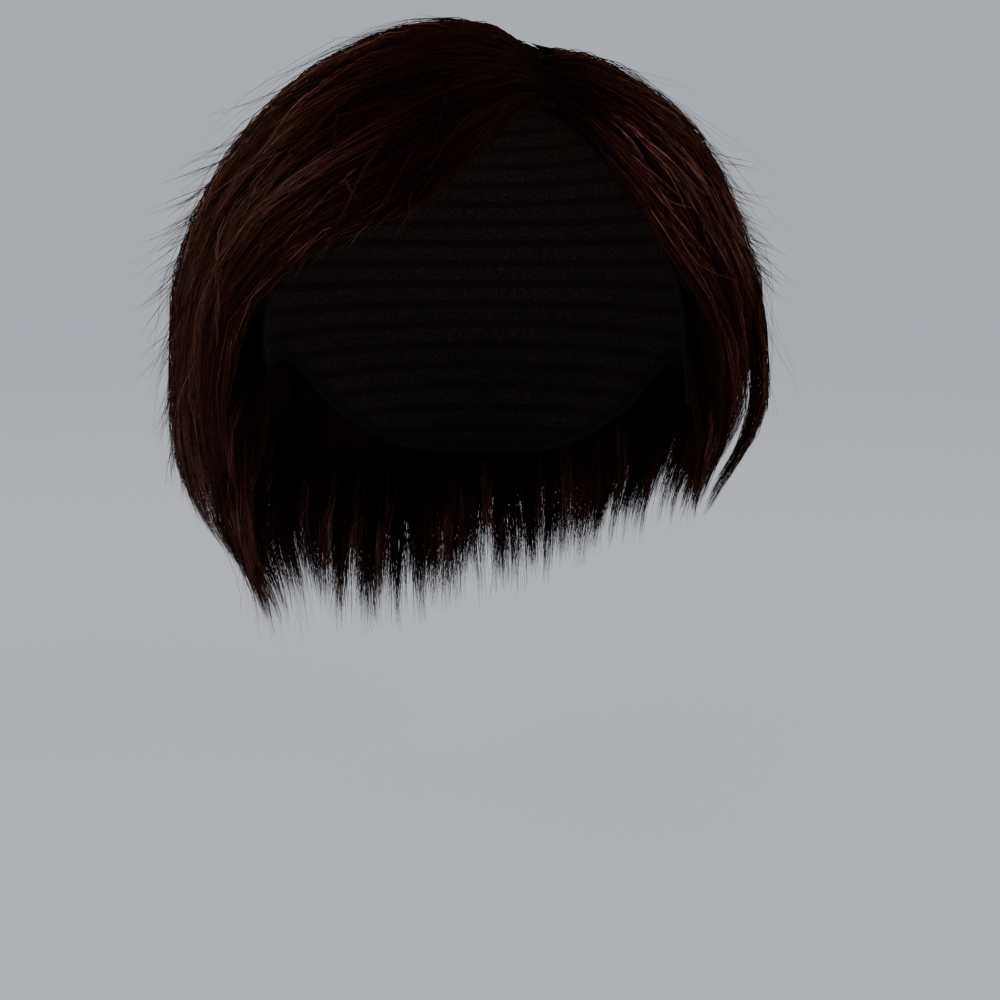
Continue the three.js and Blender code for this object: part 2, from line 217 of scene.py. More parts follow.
# bearing, polar angle of the weft, height of the tips, reach of the body, reach of the tips, tip thickness
UNDER_GUIDES = np.array([
    (-64, 84, -146, 8, 10, 4), (-90, 80, -196, 24, 9.5, 8), (-115, 80, -207, 22, 13.5, 9),
    (-146, 82, -214, 16, 18, 10), (-180, 84, -207, 15, 12, 10), (-214, 82, -190, 14, 7, 9),
    (-245, 80, -160, 14, 4, 7), (-270, 80, -150, 14, 6, 7), (-296, 84, -132, 8, 6, 4),
], float)
NAPE_BEARINGS = (-126.0, -234.0)


def polar_of_height(height):
    return 90 + (-CROWN_TO_WIDEST - height) / MM_PER_DEGREE


def under_guide(bearing):
    """Weft angle, tip angle, body reach, tip reach and tip thickness of the under layer at a bearing."""
    wrapped = np.where(bearing > 0, bearing - 360, bearing)
    spot = np.interp(-wrapped, -UNDER_GUIDES[:, 0], np.arange(len(UNDER_GUIDES)))
    root, tip_height, body, tip, tip_thickness = (through(UNDER_GUIDES[:, k], spot) for k in range(1, 6))
    return root, polar_of_height(tip_height), body, tip, tip_thickness


def under_reach(guide, polar):
    """Reach of the under layer's outside from the cap's form. Above its weft it is the cap alone."""
    root, tip_polar, body, tip, _ = guide
    t = (polar - root) / (tip_polar - root)
    weft = LAYER_GAP + ROOT_THICKNESS
    rooted = CAP_THICKNESS + weft * smooth(1 + (polar - root) / WEFT_RISE_DEGREES)
    filled = (body - CAP_THICKNESS - weft) * smooth(t / BODY_SHARE)
    return rooted + filled + (tip - body) * smooth((t - BODY_SHARE) / (1 - BODY_SHARE))


def under_layer(bearings):
    """Point of an under section by its place across, along its hair and through its depth, each 0 to 1."""
    def point(across, along, depth):
        bearing = bearings[0] + (bearings[1] - bearings[0]) * across
        guide = under_guide(bearing)
        polar = guide[0] + (guide[1] - guide[0]) * along
        reach = under_reach(guide, polar)
        hang = smooth((along - HANG_SHARE) / (1 - HANG_SHARE))
        floor = CAP_OUTSIDE + (reach - guide[4] - CAP_OUTSIDE) * hang
        edge = WEFT_EDGE_THIN + (1 - WEFT_EDGE_THIN) * smooth(along / WEFT_EDGE_SHARE)
        return form_point(bearing, polar, floor + (reach - floor) * edge * depth)
    return point


# The strands grow on guide lines, one down the middle of each small lock. At each point of a line two
# vectors give the lock's half width and half depth there. Small locks draw together into large ones.
# A layer gives its number of locks and the strands in each. Start, stop and length count along the section,
# depth and deep through it, and wide in the lock's own share across. Lift, curl and slant bend the locks and
# tip narrows them. Skew cuts the layer aslant, pull gathers it, fine scales its strands and bright its tone.
GUIDE_POINTS = 24
NUDGE = 0.01
PLACE_VARIES, WIDTH_VARIES, COUNT_VARIES = (-0.45, 0.45), (0.7, 1.3), (0.75, 1.25)
NARROWS_FROM, DEPTH_KEPT, SLANT_POWER = 0.4, 0.4, 1.5
LOCK_BORDER_VARIES, LOCK_PULL, LOCK_PULL_FROM = 0.42, 0.42, 0.2
LOCK_VALLEY, LOCK_VALLEY_VARIES, LOCK_SHADE, LOCK_SHADE_POWER = 0.21, 0.8, 0.6, 4
LOCK_LENGTH_VARIES, LOCK_SWAY, LOCK_LIFT = 0.06, 0.25, 0.05


def comb(point, large, layers, seed, shade=None):
    """Guide lines for layers of locks over a section, as a mesh of edges with what the strands need."""
    rng = np.random.default_rng(seed)
    s = np.linspace(0, 1, GUIDE_POINTS)[None]
    border = np.arange(large + 1) / large
    border[1:-1] += rng.uniform(-LOCK_BORDER_VARIES, LOCK_BORDER_VARIES, large - 1) / large
    middle, half = (border[1:] + border[:-1]) / 2, (border[1:] - border[:-1]) / 2
    longer, sway, lifted, deeper = rng.uniform(-1, 1, (4, large))
    lines, sides, deeps, strands, widths, shades = [], [], [], [], [], []
    for layer in layers:
        n = layer["locks"]

        def draw(pair):
            return rng.uniform(*pair, (n, 1))

        first, last = layer.get("across", (0.0, 1.0))
        x = first + (last - first) * (np.arange(n)[:, None] + 0.5 + draw(PLACE_VARIES)) / n
        home = np.clip(np.searchsorted(border, x) - 1, 0, large - 1)
        wide = layer["wide"] * draw(WIDTH_VARIES) * 0.5 * (last - first) / n
        start, depth, lift, slant = (draw(layer[key]) for key in ("start", "depth", "lift", "slant"))
        if "stop" in layer:
            stop = draw(layer["stop"]) + LOCK_LENGTH_VARIES * longer[home]
        else:
            stop = start + draw(layer["length"])
        stop = stop + layer.get("skew", 0.0) * (x - 0.5)
        along = start + (stop - start) * s
        off = (x - middle[home]) / half[home]
        pull = smooth((along - LOCK_PULL_FROM) / (1 - LOCK_PULL_FROM))
        drift = LOCK_SWAY * np.interp(x, middle, sway) / large
        x = x + (drift - layer.get("pull", LOCK_PULL) * off * half[home]) * pull + slant * s**SLANT_POWER
        valley = LOCK_VALLEY * (1 + LOCK_VALLEY_VARIES * deeper[home]) * smooth(along / LOCK_PULL_FROM)
        hollow = valley * off**2 * np.clip(depth, 0, 1) ** 2
        bend = lift * s ** layer.get("curl", 2)
        depth = depth - hollow + bend + LOCK_LIFT * lifted[home] * pull
        narrow = layer["tip"] + (1 - layer["tip"]) * (1 - smooth((s - NARROWS_FROM) / (1 - NARROWS_FROM)))
        lines.append(point(x, along, depth))
        across = (point(x + NUDGE, along, depth) - point(x - NUDGE, along, depth)) / (2 * NUDGE)
        through_it = (point(x, along, depth + NUDGE) - point(x, along, depth - NUDGE)) / (2 * NUDGE)
        sides.append(across * (wide * narrow)[..., None])
        deeps.append(through_it * (layer["deep"] * (DEPTH_KEPT + (1 - DEPTH_KEPT) * narrow))[..., None])
        strands.append(np.round(layer["strands"] * draw(COUNT_VARIES) + 0 * s))
        widths.append(layer.get("fine", 1.0) + 0 * strands[-1])
        # Painted shade: strands towards the borders of their large lock, down in the grooves between locks,
        # are darkened in their tone. Bright scales the layer's own tone.
        lit = layer.get("bright", 1.0) * (1 - LOCK_SHADE * np.clip(off, -1, 1) ** LOCK_SHADE_POWER)
        shades.append((shade(x, along) if shade else 1) * lit + 0 * along)
    lines, sides, deeps = (np.concatenate(v).reshape(-1, 3) * MM for v in (lines, sides, deeps))
    strands, widths, shades = (np.concatenate(v).ravel() for v in (strands, widths, shades))
    index = np.arange(len(lines)).reshape(-1, GUIDE_POINTS)
    edges = np.stack([index[:, :-1], index[:, 1:]], -1).reshape(-1, 2)
    mesh = bpy.data.meshes.new("guide_lines")
    mesh.from_pydata(lines.tolist(), edges.tolist(), [])
    for key, values in (("comb_side", sides), ("comb_deep", deeps)):
        mesh.attributes.new(key, "FLOAT_VECTOR", "POINT").data.foreach_set("vector", values.ravel())
    lock = index[:, :1] // GUIDE_POINTS + 0 * index
    singles = ("comb_strands", strands), ("comb_width", widths), ("comb_shade", shades), ("comb_lock", lock)
    for key, values in singles:
        kept = mesh.attributes.new(key, "FLOAT", "POINT").data
        kept.foreach_set("value", values.astype(np.float32).ravel())
    return mesh


# One tree turns guide lines into strands: copies of each line, gathered in small tufts, cut to their own
# lengths, with a three-sided section that thins to the tip. Their map holds tone across and length along.
TUFTS_PER_LOCK, TONE_SHARE_OF_LOCK, MAP_RING = 5, 0.55, 0.004
START_POWER, GATHER_POWER, STRAY_RARITY, STRAY_SINKS, RISE_SHARE = 1.7, 1.4, 9.0, 0.3, 0.3
TIP_THINNING, TIP_POWER, THINNEST, THICKNESS_VARIES = 0.86, 1.8, 0.7, 0.6
STRAND_SETTINGS = (
    ("Seed", "NodeSocketInt"), ("Strand radius", "NodeSocketFloat"), ("Latest start", "NodeSocketFloat"),
    ("Shortest end", "NodeSocketFloat"), ("Ends thin out", "NodeSocketFloat"),
    ("Gather", "NodeSocketFloat"), ("Stray", "NodeSocketFloat"), ("Frizz", "NodeSocketFloat"),
    ("Frizz size", "NodeSocketFloat"), ("Step", "NodeSocketFloat"), ("Hair", "NodeSocketMaterial"),
)


def strand_tree():
    tree = bpy.data.node_groups.new("combed_strands", "GeometryNodeTree")
    tree.interface.new_socket("Guides", in_out="INPUT", socket_type="NodeSocketGeometry")
    for name, kind in STRAND_SETTINGS:
        tree.interface.new_socket(name, in_out="INPUT", socket_type=kind)
    tree.interface.new_socket("Strands", in_out="OUTPUT", socket_type="NodeSocketGeometry")
    given = tree.nodes.new("NodeGroupInput").outputs
    index = add(tree, "GeometryNodeInputIndex")[0]
    here = add(tree, "GeometryNodeSplineParameter")
    factor = here["Factor"]

    def maths(operation, a, b=0.0):
        return calc(tree, operation, a, b)

    def read(name, kind):
        return add(tree, "GeometryNodeInputNamedAttribute", {"Name": name}, data_type=kind)[0]

    def per_strand(value, kind="FLOAT"):
        held = {"Value": value}
        return add(tree, "GeometryNodeFieldOnDomain", held, domain="CURVE", data_type=kind)[0]

    def chance(step, ident=index):
        dice = {"ID": ident, "Seed": maths("ADD", given["Seed"], step)}
        return per_strand(add(tree, "FunctionNodeRandomValue", dice, data_type="FLOAT")[1])

    def mix(share, a, b):
        return add(tree, "ShaderNodeMix", {0: share, 2: a, 3: b}, data_type="FLOAT")[0]

    def scaled(vector, by):
        return add(tree, "ShaderNodeVectorMath", {0: vector, 3: by}, operation="SCALE")[0]

    def plus(a, b):
        return add(tree, "ShaderNodeVectorMath", {0: a, 1: b}, operation="ADD")[0]

    def spot_in_round(step, ident=index):
        reach = maths("SQRT", chance(step, ident))
        turn = maths("MULTIPLY", chance(step + 1, ident), 2 * np.pi)
        return [maths("MULTIPLY", reach, maths(wave, turn)) for wave in ("COSINE", "SINE")]

    curves = add(tree, "GeometryNodeMeshToCurve", {"Mesh": given["Guides"]})[0]
    copies = {"Geometry": curves, "Amount": read("comb_strands", "FLOAT")}
    curves = add(tree, "GeometryNodeDuplicateElements", copies, domain="SPLINE")[0]
    start = maths("MULTIPLY", maths("POWER", chance(1), START_POWER), given["Latest start"])
    end = mix(maths("POWER", chance(2), given["Ends thin out"]), given["Shortest end"], 1.0)
    curves = add(tree, "GeometryNodeTrimCurve", {"Curve": curves, 2: start, 3: end})[0]
    length = add(tree, "GeometryNodeSplineLength")["Length"]
    count = maths("MAXIMUM", maths("ADD", maths("FLOOR", maths("DIVIDE", length, given["Step"])), 2.0), 3.0)
    curves = add(tree, "GeometryNodeResampleCurve", {"Curve": curves, "Count": count})[0]

    lock = per_strand(read("comb_lock", "FLOAT"))
    tuft = maths("FLOOR", maths("MULTIPLY", chance(3), TUFTS_PER_LOCK))
    tuft = maths("ADD", maths("MULTIPLY", lock, TUFTS_PER_LOCK), tuft)
    root, tip, middle = spot_in_round(4), spot_in_round(15), spot_in_round(6, tuft)
    own = [mix(factor, a, b) for a, b in zip(root, tip)]
    gather = maths("MULTIPLY", given["Gather"], maths("POWER", factor, GATHER_POWER))
    stray = maths("MULTIPLY", maths("POWER", chance(8), STRAY_RARITY), maths("POWER", factor, 2.0))
    stray = maths("MULTIPLY", given["Stray"], stray)
    aside = maths("MULTIPLY", maths("SUBTRACT", chance(9), 0.5), stray)
    aside = maths("ADD", mix(gather, own[0], middle[0]), aside)
    up = maths("MULTIPLY", maths("SUBTRACT", chance(10), STRAY_SINKS), stray)
    up = maths("ADD", mix(gather, own[1], middle[1]), up)
    rooted = {0: factor, 1: 0.0, 2: RISE_SHARE}
    rise = add(tree, "ShaderNodeMapRange", rooted, interpolation_type="SMOOTHSTEP")[0]
    up = mix(rise, -1.0, up)
    dice = {"ID": index, "Seed": maths("ADD", given["Seed"], 11)}
    shake = add(tree, "FunctionNodeRandomValue", dice, data_type="FLOAT_VECTOR")[0]
    shake = per_strand(shake, "FLOAT_VECTOR")
    sample = plus(add(tree, "GeometryNodeInputPosition")[0], shake)
    waves = maths("DIVIDE", 1.0, given["Frizz size"])
    wave = add(tree, "ShaderNodeTexNoise", {"Vector": sample, "Scale": waves, "Detail": 1.0})["Color"]
    wave = add(tree, "ShaderNodeVectorMath", {0: wave, 1: (0.5, 0.5, 0.5)}, operation="SUBTRACT")[0]
    wave = scaled(wave, maths("MULTIPLY", maths("MULTIPLY", given["Frizz"], 2.0), maths("SQRT", factor)))
    sideways = scaled(read("comb_side", "FLOAT_VECTOR"), aside)
    move = plus(sideways, scaled(read("comb_deep", "FLOAT_VECTOR"), up))
    curves = add(tree, "GeometryNodeSetPosition", {"Geometry": curves, "Offset": plus(move, wave)})[0]

    def keep(geometry, name, value):
        return add(
            tree, "GeometryNodeStoreNamedAttribute", {"Geometry": geometry, "Name": name, "Value": value},
            data_type="FLOAT", domain="POINT",
        )[0]

    tone = mix(TONE_SHARE_OF_LOCK, chance(12), chance(13, lock))
    tone = maths("MULTIPLY", tone, read("comb_shade", "FLOAT"))
    curves = keep(keep(curves, "comb_tone", tone), "comb_along", factor)
    ring = add(tree, "GeometryNodeCurvePrimitiveCircle", {"Resolution": 3, "Radius": 1.0})[0]
    ring = keep(ring, "comb_ring", here["Index"])
    thin = maths("SUBTRACT", 1.0, maths("MULTIPLY", maths("POWER", factor, TIP_POWER), TIP_THINNING))
    width = maths("ADD", THINNEST, maths("MULTIPLY", chance(14), THICKNESS_VARIES))
    width = maths("MULTIPLY", given["Strand radius"], width)
    width = maths("MULTIPLY", width, read("comb_width", "FLOAT"))
    size = maths("MULTIPLY", width, thin)
    swept = {"Curve": curves, "Profile Curve": ring, "Scale": size, "Fill Caps": True}
    hair = add(tree, "GeometryNodeCurveToMesh", swept)[0]
    u = maths("MULTIPLY", read("comb_tone", "FLOAT"), 1 - 3 * MAP_RING)
    u = maths("ADD", u, maths("MULTIPLY", read("comb_ring", "FLOAT"), MAP_RING))
    place = add(tree, "ShaderNodeCombineXYZ", {0: u, 1: read("comb_along", "FLOAT")})[0]
    hair = add(
        tree, "GeometryNodeStoreNamedAttribute", {"Geometry": hair, "Name": "OFBake", "Value": place},
        data_type="FLOAT2", domain="CORNER",
    )[0]
    used = {"Geometry": hair, "Name": "comb_*"}
    hair = add(tree, "GeometryNodeRemoveAttribute", used, pattern_mode="WILDCARD")[0]
    hair = add(tree, "GeometryNodeSetShadeSmooth", {"Geometry": hair})[0]
    hair = add(tree, "GeometryNodeRealizeInstances", {"Geometry": hair})[0]
    hair = add(tree, "GeometryNodeSetMaterial", {"Geometry": hair, "Material": given["Hair"]})[0]
    tree.links.new(hair, tree.nodes.new("NodeGroupOutput").inputs[0])
    return tree


strands_on_guides = strand_tree()


def grow(name, guides, **settings):
    """Strands on guide lines, as one plain mesh piece that rides with the cap."""
    holder = bpy.data.objects.new(name + "_guides", guides)
    bpy.context.scene.collection.objects.link(holder)
    modifier = holder.modifiers.new("strands", "NODES")
    modifier.node_group = strands_on_guides
    sockets = {s.name: s.identifier for s in strands_on_guides.interface.items_tree if s.in_out == "INPUT"}
    for key, value in settings.items():
        modifier[sockets[key.replace("_", " ")]] = value
    seen = holder.evaluated_get(bpy.context.evaluated_depsgraph_get())
    piece = bpy.data.objects.new(name, bpy.data.meshes.new_from_object(seen))
    bpy.context.scene.collection.objects.link(piece)
    bpy.data.objects.remove(holder)
    bpy.data.meshes.remove(guides)
    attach(piece, "root")


# The hair's colour is nearly black brown with a red brown in its lighter strands. Towards each strand's root
# its tone is darkened as painted shade, where it lies under the hair above it.
ROOT_PAINTED_SHADE, ROOT_PAINTED_SHADE_SPAN = 0.12, (0.02, 0.4)
ROOT_ROUGHNESS, ROOT_ROUGH_SPAN, DARK_ROUGHNESS, LIGHT_ROUGHNESS = 0.8, (0.05, 0.3), 0.5, 0.36
HAIR_GLINT = (1.0, 0.42, 0.28, 1.0)
HAIR_TONES = (
    (0.0, (0.003, 0.001, 0.0008)), (0.4, (0.02, 0.0056, 0.0038)),
    (0.72, (0.096, 0.034, 0.024)), (1.0, (0.36, 0.19, 0.142)),
)
hair_tone = bpy.data.node_groups.new("hair_tone", "ShaderNodeTree")
for name in ("Tone", "Along"):
    hair_tone.interface.new_socket(name, in_out="INPUT", socket_type="NodeSocketFloat")
hair_tone.interface.new_socket("Colour", in_out="OUTPUT", socket_type="NodeSocketColor")
hair_tone.interface.new_socket("Roughness", in_out="OUTPUT", socket_type="NodeSocketFloat")
given = hair_tone.nodes.new("NodeGroupInput").outputs
put_out = hair_tone.nodes.new("NodeGroupOutput").inputs
ramp = hair_tone.nodes.new("ShaderNodeValToRGB")
stops = ramp.color_ramp.elements
while len(stops) < len(HAIR_TONES):
    stops.new(0.5)
for stop, (spot, colour) in zip(stops, HAIR_TONES):
    stop.position, stop.color = spot, (*colour, 1)
hair_tone.links.new(given["Tone"], ramp.inputs[0])
# Painted shade: the tone is scaled down towards the root of each strand.
along = {0: given["Along"], 1: ROOT_PAINTED_SHADE_SPAN[0], 2: ROOT_PAINTED_SHADE_SPAN[1], 3: ROOT_PAINTED_SHADE, 4: 1.0}
lit = add(hair_tone, "ShaderNodeMapRange", along)[0]
dark = add(hair_tone, "ShaderNodeVectorMath", {0: ramp.outputs[0], 3: lit}, operation="SCALE")[0]
hair_tone.links.new(dark, put_out["Colour"])
gloss = add(hair_tone, "ShaderNodeMapRange", {0: given["Tone"], 3: DARK_ROUGHNESS, 4: LIGHT_ROUGHNESS})[0]
along = {0: given["Along"], 1: ROOT_ROUGH_SPAN[0], 2: ROOT_ROUGH_SPAN[1], 3: ROOT_ROUGHNESS, 4: gloss}
dull = add(hair_tone, "ShaderNodeMapRange", along)[0]
hair_tone.links.new(dull, put_out["Roughness"])

strand_hair, tree, shader = new_material("hair_strands", Specular_IOR_Level=0.06, Specular_Tint=HAIR_GLINT)
spot = add(tree, "ShaderNodeSeparateXYZ", {0: add(tree, "ShaderNodeUVMap", uv_map="OFBake")[0]})
tone = add(tree, "ShaderNodeGroup", node_tree=hair_tone)
tree.links.new(spot["X"], tone[0].node.inputs["Tone"])
tree.links.new(spot["Y"], tone[0].node.inputs["Along"])
tree.links.new(tone["Colour"], shader["Base Color"])
tree.links.new(tone["Roughness"], shader["Roughness"])

# Under the loose strands each section has a dense body, streaked along the way its hair is combed. Its tones
# keep to the dark end of the hair's range, as painted shade for the hair deep under the strands.
BODY_INSET, BODY_INSIDE, BODY_THINNEST = 5.0, 0.5, 0.7
BODY_EDGE_SHARE, BODY_EDGE_THIN, BODY_END_VARIES = 0.14, 0.25, 0.12
BODY_HOLLOW, BODY_HOLLOW_FROM, BODY_HOLLOW_OVER = 0.4, 0.35, 0.35
STREAKS_ACROSS, STREAKS_ALONG, STREAK_RELIEF, STREAK_TONE = 900.0, 5.0, 0.0006, 0.4
dense_hair, tree, shader = new_material("hair_body", Specular_IOR_Level=0.1, Specular_Tint=HAIR_GLINT)
flow = add(tree, "ShaderNodeUVMap", uv_map="flow")[0]
stretch = {0: flow, 1: (STREAKS_ACROSS, STREAKS_ALONG, 1.0)}
stretched = add(tree, "ShaderNodeVectorMath", stretch, operation="MULTIPLY")[0]
streak = add(tree, "ShaderNodeTexNoise", {"Vector": stretched, "Scale": 1.0, "Detail": 3.0})["Fac"]
tone = add(tree, "ShaderNodeGroup", node_tree=hair_tone)
tree.links.new(calc(tree, "MULTIPLY", streak, STREAK_TONE), tone[0].node.inputs["Tone"])
tree.links.new(add(tree, "ShaderNodeSeparateXYZ", {0: flow})["Y"], tone[0].node.inputs["Along"])
tree.links.new(tone["Colour"], shader["Base Color"])
tree.links.new(tone["Roughness"], shader["Roughness"])
relief = add(tree, "ShaderNodeBump", {"Height": streak, "Distance": STREAK_RELIEF})[0]
tree.links.new(relief, shader["Normal"])


def dense_body(name, node, point, columns, rows, stop, free=(False, False)):
    """The closed body under a section's strands, in place of its solid. It thins to its free edges."""
    ragged = np.random.default_rng(columns * rows).random((columns, 1))
    along = stop * (1 - BODY_END_VARIES * ragged) * np.linspace(0, 1, rows)[None]
    across = np.linspace(0, 1, columns)[:, None] + 0 * along
    inside, outside = point(across, along, 0 * along), point(across, along, 1 + 0 * along)
    wall = outside - inside
    thick = np.linalg.norm(wall, axis=-1, keepdims=True)
    wall /= thick
    in_from_edge = np.minimum(across if free[0] else 1, 1 - across if free[1] else 1)
    edge = BODY_EDGE_THIN + (1 - BODY_EDGE_THIN) * smooth(in_from_edge / BODY_EDGE_SHARE)
    hollow = BODY_HOLLOW * smooth((along / stop - BODY_HOLLOW_FROM) / BODY_HOLLOW_OVER)
    low = BODY_INSIDE + hollow[..., None] * thick
    top = np.maximum((thick - BODY_INSET) * edge[..., None], low + BODY_THINNEST)
    piece = shell(name, inside + wall * top, inside + wall * low, np.stack([across, along], -1))
    piece.data.materials.append(dense_hair)
    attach(piece, "root")
    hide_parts(node)


SETTINGS = dict(
    Strand_radius=0.00014, Latest_start=0.4, Shortest_end=0.72, Ends_thin_out=1.2, Gather=0.3, Stray=2.0,
    Frizz=0.0008, Frizz_size=0.035, Step=0.026, Hair=strand_hair,
)
nape = under_layer(NAPE_BEARINGS)
dense_body("nape_body", "nape_hair", nape, 72, 26, 0.72)
grow("nape_strands", comb(nape, 11, (
    dict(locks=54, strands=66, start=(0.0, 0.3), stop=(0.97, 1.12), depth=(0.75, 0.95), deep=0.25,
         wide=2.6, lift=(-0.2, 0.1), slant=(-0.04, 0.04), tip=1.0, fine=1.3, pull=0.1),
    dict(locks=150, strands=6, start=(0.3, 0.7), length=(0.25, 0.4), depth=(0.93, 1.02), deep=0.08,
         wide=1.6, lift=(0.0, 0.2), slant=(-0.06, 0.06), tip=0.4),
    dict(locks=46, strands=66, start=(0.46, 0.52), stop=(0.93, 1.1), depth=(0.3, 0.6), deep=0.2,
         wide=2.6, lift=(-0.1, 0.2), slant=(-0.04, 0.04), tip=1.0, fine=1.3, pull=0.1),
    dict(locks=70, strands=4, start=(0.45, 0.6), stop=(0.9, 1.08), depth=(0.4, 1.05), deep=0.2,
         wide=2.4, lift=(-0.1, 0.2), slant=(-0.1, 0.1), tip=1.2, fine=0.6),
), 301), Seed=301, **{**SETTINGS, "Ends_thin_out": 1.6, "Shortest_end": 0.68, "Gather": 0.1})

# Right side hair
# The longer under layer on the right, machine weft sewn to the cap above its side edge. It hangs well below
# the cap and is cut to thin parted tips.
RIGHT_BEARINGS = (-64.0, -126.0)
right_side = under_layer(RIGHT_BEARINGS)
dense_body("right_side_body", "right_side_hair", right_side, 60, 26, 0.54, free=(True, False))
grow("right_side_strands", comb(right_side, 6, (
    dict(locks=28, strands=66, start=(0.0, 0.3), stop=(0.92, 1.08), depth=(0.9, 1.05), deep=0.22,
         wide=2.6, lift=(-0.8, -0.2), slant=(-0.08, 0.08), tip=0.8, fine=1.1, pull=0.15),
    dict(locks=170, strands=6, start=(0.3, 0.74), length=(0.2, 0.4), depth=(0.97, 1.1), deep=0.1,
         wide=2.0, lift=(-0.5, 0.2), slant=(-0.1, 0.1), tip=0.35, fine=0.9),
    dict(locks=28, strands=58, start=(0.25, 0.45), stop=(0.9, 1.06), depth=(0.35, 0.7), deep=0.25,
         wide=2.6, lift=(-0.5, 0.1), slant=(-0.06, 0.06), tip=0.7, fine=1.1, pull=0.25),
    dict(locks=80, strands=4, start=(0.4, 0.6), stop=(0.93, 1.16), depth=(0.4, 1.15), deep=0.2,
         wide=2.4, lift=(-0.6, 0.2), slant=(-0.16, 0.16), tip=1.2, fine=0.6),
    dict(locks=16, strands=26, start=(0.0, 0.15), stop=(0.6, 0.9), depth=(0.4, 1.0), deep=0.25,
         wide=2.0, across=(-0.1, 0.12), lift=(-0.2, 0.1), slant=(0.0, 0.06), tip=0.8),
), 311), Seed=311, **{**SETTINGS, "Ends_thin_out": 1.4, "Shortest_end": 0.68, "Gather": 0.25})

# Left side hair
# The shorter under layer on the left, machine weft sewn to the cap like the right side's. It lies closer
# and draws in towards its tips.
LEFT_BEARINGS = (-234.0, -296.0)
left_side = under_layer(LEFT_BEARINGS)
dense_body("left_side_body", "left_side_hair", left_side, 60, 26, 0.6, free=(False, True))
grow("left_side_strands", comb(left_side, 6, (
    dict(locks=26, strands=56, start=(0.0, 0.3), stop=(1.02, 1.2), depth=(0.8, 1.0), deep=0.22,
         wide=2.6, lift=(-0.6, -0.1), slant=(-0.05, 0.05), tip=0.6, fine=1.1, pull=0.35),
    dict(locks=140, strands=6, start=(0.3, 0.78), length=(0.2, 0.4), depth=(0.95, 1.03), deep=0.08,
         wide=1.8, lift=(-0.4, 0.2), slant=(-0.08, 0.08), tip=0.35, fine=0.9),
    dict(locks=26, strands=48, start=(0.25, 0.45), stop=(0.98, 1.16), depth=(0.35, 0.7), deep=0.25,
         wide=2.6, lift=(-0.4, 0.1), slant=(-0.05, 0.05), tip=0.7, fine=1.1, pull=0.25),
    dict(locks=50, strands=4, start=(0.4, 0.6), stop=(0.95, 1.2), depth=(0.4, 1.05), deep=0.2, wide=2.4,
         lift=(-0.4, 0.2), slant=(-0.12, 0.12), tip=1.2, fine=0.6),
    dict(locks=16, strands=26, start=(0.0, 0.15), stop=(0.6, 1.0), depth=(0.4, 1.0), deep=0.25,
         wide=2.0, across=(0.88, 1.1), lift=(-0.2, 0.1), slant=(-0.06, 0.0), tip=0.8),
), 321), Seed=321, **{**SETTINGS, "Ends_thin_out": 1.8, "Shortest_end": 0.6, "Gather": 0.2})

# Back hair
# Crown and back hair, knotted into the cap round the end of the parting. It falls over the nape hair in
# long overlapping layers, and its ends are cut to uneven points.
CROWN_ROOT_THICKNESS, CROWN_RISE_SHARE = 6.0, 0.5
PARTING_HALF_GAP_DEGREES, PARTING_END_SHARE, EDGE_OVERHANG = 0.9, 0.08, 0.06
GUIDE_STOPS = (0.0, 0.36, 0.77, 1.0)
BACK_SHARES = (0.27, 0.74)
# bearing and polar angle of the bend, bearing at the widest level, bearing and height of the tip,
# thickness at the bend, the widest level and the tip
TOP_GUIDES = np.array([
    (-14, 64, -58, -64, -126, 3, 9, 6), (-37, 52, -75, -79, -143, 17.5, 19.5, 6),
    (-62, 44, -92, -95, -158, 17, 25.5, 7.5), (-93, 40, -109, -111, -158, 15, 22.5, 13),
    (-126, 43, -128, -130, -144, 17, 18, 7), (-158, 50, -153, -155, -141, 17, 15, 5),
    (175, 60, 180, 180, -139, 17, 14, 4), (152, 54, 154, 156, -138, 17, 14, 4),
    (126, 51, 130, 132, -136, 17, 16, 5), (102, 50, 112, 114, -136, 14.5, 18, 8),
    (81, 54, 96, 99, -142, 18.5, 19.5, 8.5), (63, 59, 80, 84, -140, 14, 16.5, 5.5),
    (46, 66, 63, 70, -114, 3, 8.5, 5.5),
], float)


def map_spot(bearing, polar):
    """Place on a flat map of the crown, where the distance from the middle is the polar angle."""
    return polar * np.sin(np.radians(bearing)), polar * np.cos(np.radians(bearing))


PARTING_FRONT, PARTING_BACK = map_spot(24.7, 41.5), map_spot(165.0, 31.0)
BENDS = map_spot(TOP_GUIDES[:, 0], TOP_GUIDES[:, 1])
WIDEST = map_spot(TOP_GUIDES[:, 2], 90.0)
ENDS = map_spot(TOP_GUIDES[:, 3], polar_of_height(TOP_GUIDES[:, 4]))


